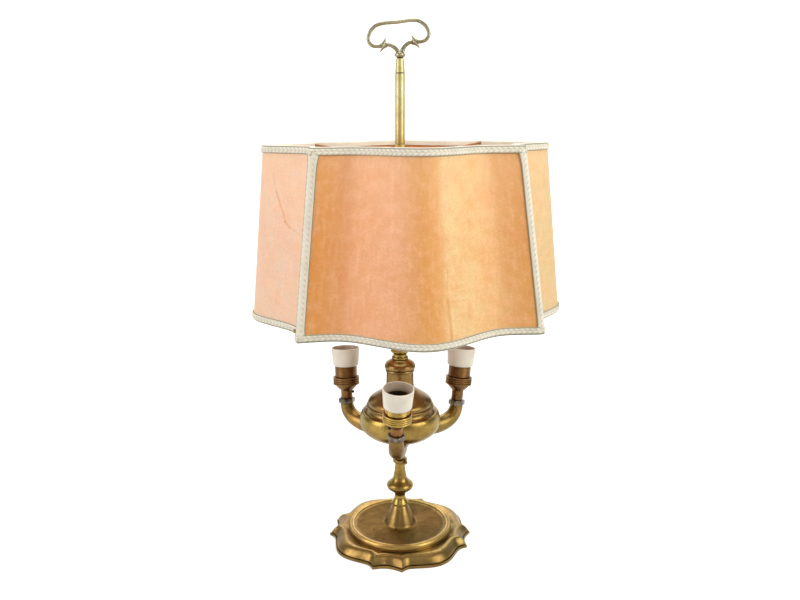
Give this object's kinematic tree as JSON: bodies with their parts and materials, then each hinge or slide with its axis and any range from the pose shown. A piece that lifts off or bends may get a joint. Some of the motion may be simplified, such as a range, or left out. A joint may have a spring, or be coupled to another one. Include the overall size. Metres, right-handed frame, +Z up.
{
  "type": "table lamp",
  "caption": "Tall brass table lamp formed like an old spouted oil lamp: scalloped foot, turned stem and font, curved arms with lampholders, rod with loop handle, bracket-sided parchment shade.",
  "frame": {"origin": "middle of the flat underside of the foot, on the axis of the rod", "axes": "+Z up along the rod, the pictured front faces -Y, +X to the viewer's right"},
  "size_m": [0.3941, 0.3753, 0.6748],
  "materials": {
    "aged_bronze": "worn, dull rosy brown",
    "brass": "polished, olive gold",
    "old_brass": "dark chestnut patina",
    "bright_brass": "polished yellow",
    "steel": "dull",
    "black_steel": "blackened",
    "lead_cover": "insulated flex",
    "porcelain": "white glaze",
    "ring_white": "warm off-white",
    "parchment": "stiff parchment, peach",
    "braid": "woven braid, ivory and grey-green"
  },
  "bodies": {
    "base": {"foot_ring": "aged_bronze", "foot_dish": "aged_bronze", "foot_washer": "steel", "foot_nut": "steel", "tie_rod": "brass", "stem": "brass", "stop_collar": "old_brass", "column_tube": "bright_brass"},
    "stop_screw": {"stop_screw": "steel"},
    "font": {"font_bowl": "brass", "font_shoulder": "brass", "font_chimney": "brass", "font_cap": "brass", "font_bell": "bright_brass", "terminal_ring": "porcelain", "arm_front": "brass", "arm_right": "brass", "arm_left": "brass", "arm_leads": "lead_cover", "arm_nuts": "steel", "arm_nipples": "brass", "holder_cap_front": "bright_brass", "holder_cap_right": "old_brass", "holder_cap_left": "old_brass", "holder_band_front": "bright_brass", "holder_band_right": "old_brass", "holder_band_left": "old_brass", "holder_shell_front": "bright_brass", "holder_shell_right": "old_brass", "holder_shell_left": "old_brass", "holder_core_front": "porcelain", "holder_core_right": "porcelain", "holder_core_left": "porcelain", "holder_contacts": "bright_brass", "holder_screws": "black_steel"},
    "ring_front": {"shade_ring_front": "ring_white"},
    "ring_right": {"shade_ring_right": "ring_white"},
    "ring_left": {"shade_ring_left": "ring_white"},
    "shade_hub": {"hub_sleeve": "brass"},
    "hub_screw": {"hub_screw": "old_brass"},
    "shade": {"shade_spider": "steel", "shade_top_wire": "steel", "shade_bottom_wire": "steel", "shade_rib_wires": "steel", "panel_front": "parchment", "panel_right": "parchment", "panel_back": "parchment", "panel_left": "parchment", "braid_top": "braid", "braid_bottom": "braid", "braid_ribs": "braid", "shade_stud": "bright_brass"},
    "finial": {"finial_ferrule": "bright_brass", "finial_bead": "bright_brass", "loop_handle": "bright_brass", "handle_leaves": "bright_brass"}
  },
  "joints": [
    {"name": "stop_screw_turn", "type": "hinge", "parent": "base", "child": "stop_screw", "pos_m": [0, 0, 0.1103], "axis": [0.6157, -0.788, 0], "range_deg": [0, 360]},
    {"name": "font_turn", "type": "hinge", "parent": "base", "child": "font", "pos_m": [0, 0, 0.1129], "axis": [0, 0, 1], "range_deg": [-170, 170]},
    {"name": "ring_front_turn", "type": "hinge", "parent": "font", "child": "ring_front", "pos_m": [-0.00442, -0.08729, 0.18], "axis": [0.0374, -0.1394, 0.9895], "range_deg": [0, 360]},
    {"name": "ring_right_turn", "type": "hinge", "parent": "font", "child": "ring_right", "pos_m": [0.0778, 0.03982, 0.178], "axis": [0.0804, 0.1029, 0.9914], "range_deg": [0, 360]},
    {"name": "ring_left_turn", "type": "hinge", "parent": "font", "child": "ring_left", "pos_m": [-0.07338, 0.04747, 0.178], "axis": [-0.0217, 0.1022, 0.9945], "range_deg": [0, 360]},
    {"name": "shade_slide", "type": "slide", "parent": "base", "child": "shade_hub", "axis": [0, 0, 1], "range_m": [-0.235, 0.08]},
    {"name": "hub_screw_turn", "type": "hinge", "parent": "shade_hub", "child": "hub_screw", "pos_m": [0, 0, 0.5225], "axis": [-1, 0, 0], "range_deg": [0, 360]},
    {"name": "shade_turn", "type": "hinge", "parent": "shade_hub", "child": "shade", "pos_m": [0, 0, 0.5088], "axis": [0, 0, 1], "continuous": true},
    {"name": "finial_turn", "type": "hinge", "parent": "base", "child": "finial", "pos_m": [0, 0, 0.6123], "axis": [0, 0, 1], "range_deg": [0, 360]}
  ]
}
